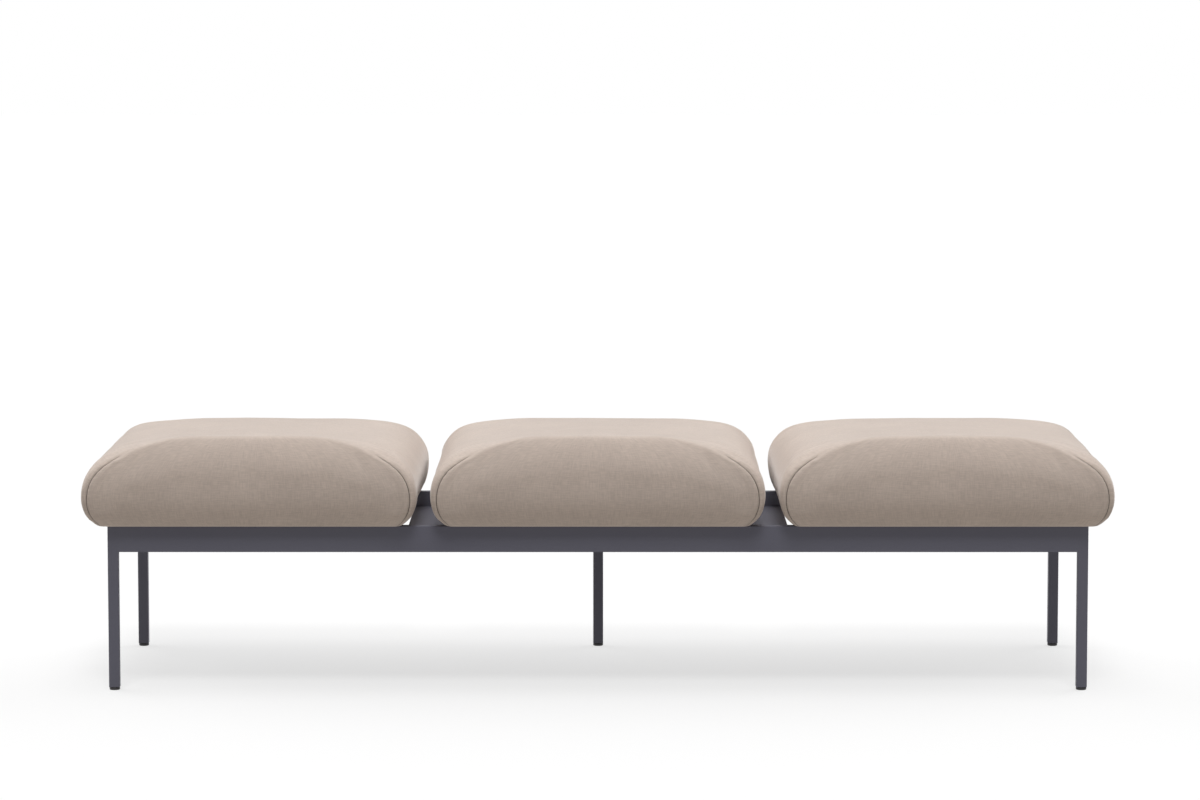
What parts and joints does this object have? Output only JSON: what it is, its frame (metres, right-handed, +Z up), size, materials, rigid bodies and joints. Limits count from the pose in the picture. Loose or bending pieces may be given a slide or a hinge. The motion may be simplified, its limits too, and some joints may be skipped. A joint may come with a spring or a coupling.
{
  "type": "reception bench",
  "caption": "Backless reception bench: puffy square seat cushions in woven cloth, side by side on a slim welded tube frame with levelling feet, for waiting areas.",
  "frame": {"origin": "on the floor under the middle of the bench", "axes": "+X along the bench to its right as seen from the front, the front faces -Y, +Z up"},
  "size_m": [1.9637, 0.6438, 0.478],
  "materials": {
    "powder_coat": "satin",
    "greige_cloth": "matte",
    "foam": "matte",
    "plywood": "matte",
    "dust_cloth": "matte",
    "nylon": "satin",
    "zinc_steel": "satin"
  },
  "bodies": {
    "bench": {"front_rail": "powder_coat", "rear_rail": "powder_coat", "end_rail_left": "powder_coat", "end_rail_right": "powder_coat", "cross_member_left": "powder_coat", "cross_member_right": "powder_coat", "corner_welds": "powder_coat", "fixing_tabs_front": "powder_coat", "fixing_tabs_rear": "powder_coat", "leg_inserts": "nylon", "seat_screws": "zinc_steel", "screw_washers": "zinc_steel", "tee_nuts": "zinc_steel", "leg_front_left": "powder_coat", "leg_front_right": "powder_coat", "leg_rear_left": "powder_coat", "leg_rear_right": "powder_coat", "leg_rear_centre": "powder_coat", "seat_cover_left": "greige_cloth", "seat_foam_left": "foam", "seat_board_left": "plywood", "dust_cover_left": "dust_cloth", "seat_cover_centre": "greige_cloth", "seat_foam_centre": "foam", "seat_board_centre": "plywood", "dust_cover_centre": "dust_cloth", "seat_cover_right": "greige_cloth", "seat_foam_right": "foam", "seat_board_right": "plywood", "dust_cover_right": "dust_cloth"},
    "foot_front_left": {"foot_pad_front_left": "nylon", "foot_stem_front_left": "zinc_steel"},
    "foot_front_right": {"foot_pad_front_right": "nylon", "foot_stem_front_right": "zinc_steel"},
    "foot_rear_left": {"foot_pad_rear_left": "nylon", "foot_stem_rear_left": "zinc_steel"},
    "foot_rear_right": {"foot_pad_rear_right": "nylon", "foot_stem_rear_right": "zinc_steel"},
    "foot_rear_centre": {"foot_pad_rear_centre": "nylon", "foot_stem_rear_centre": "zinc_steel"}
  },
  "joints": [
    {"name": "foot_front_left_level", "type": "slide", "parent": "bench", "child": "foot_front_left", "axis": [0, 0, -1], "range_m": [0, 0.01]},
    {"name": "foot_front_right_level", "type": "slide", "parent": "bench", "child": "foot_front_right", "axis": [0, 0, -1], "range_m": [0, 0.01]},
    {"name": "foot_rear_left_level", "type": "slide", "parent": "bench", "child": "foot_rear_left", "axis": [0, 0, -1], "range_m": [0, 0.01]},
    {"name": "foot_rear_right_level", "type": "slide", "parent": "bench", "child": "foot_rear_right", "axis": [0, 0, -1], "range_m": [0, 0.01]},
    {"name": "foot_rear_centre_level", "type": "slide", "parent": "bench", "child": "foot_rear_centre", "axis": [0, 0, -1], "range_m": [0, 0.01]}
  ]
}
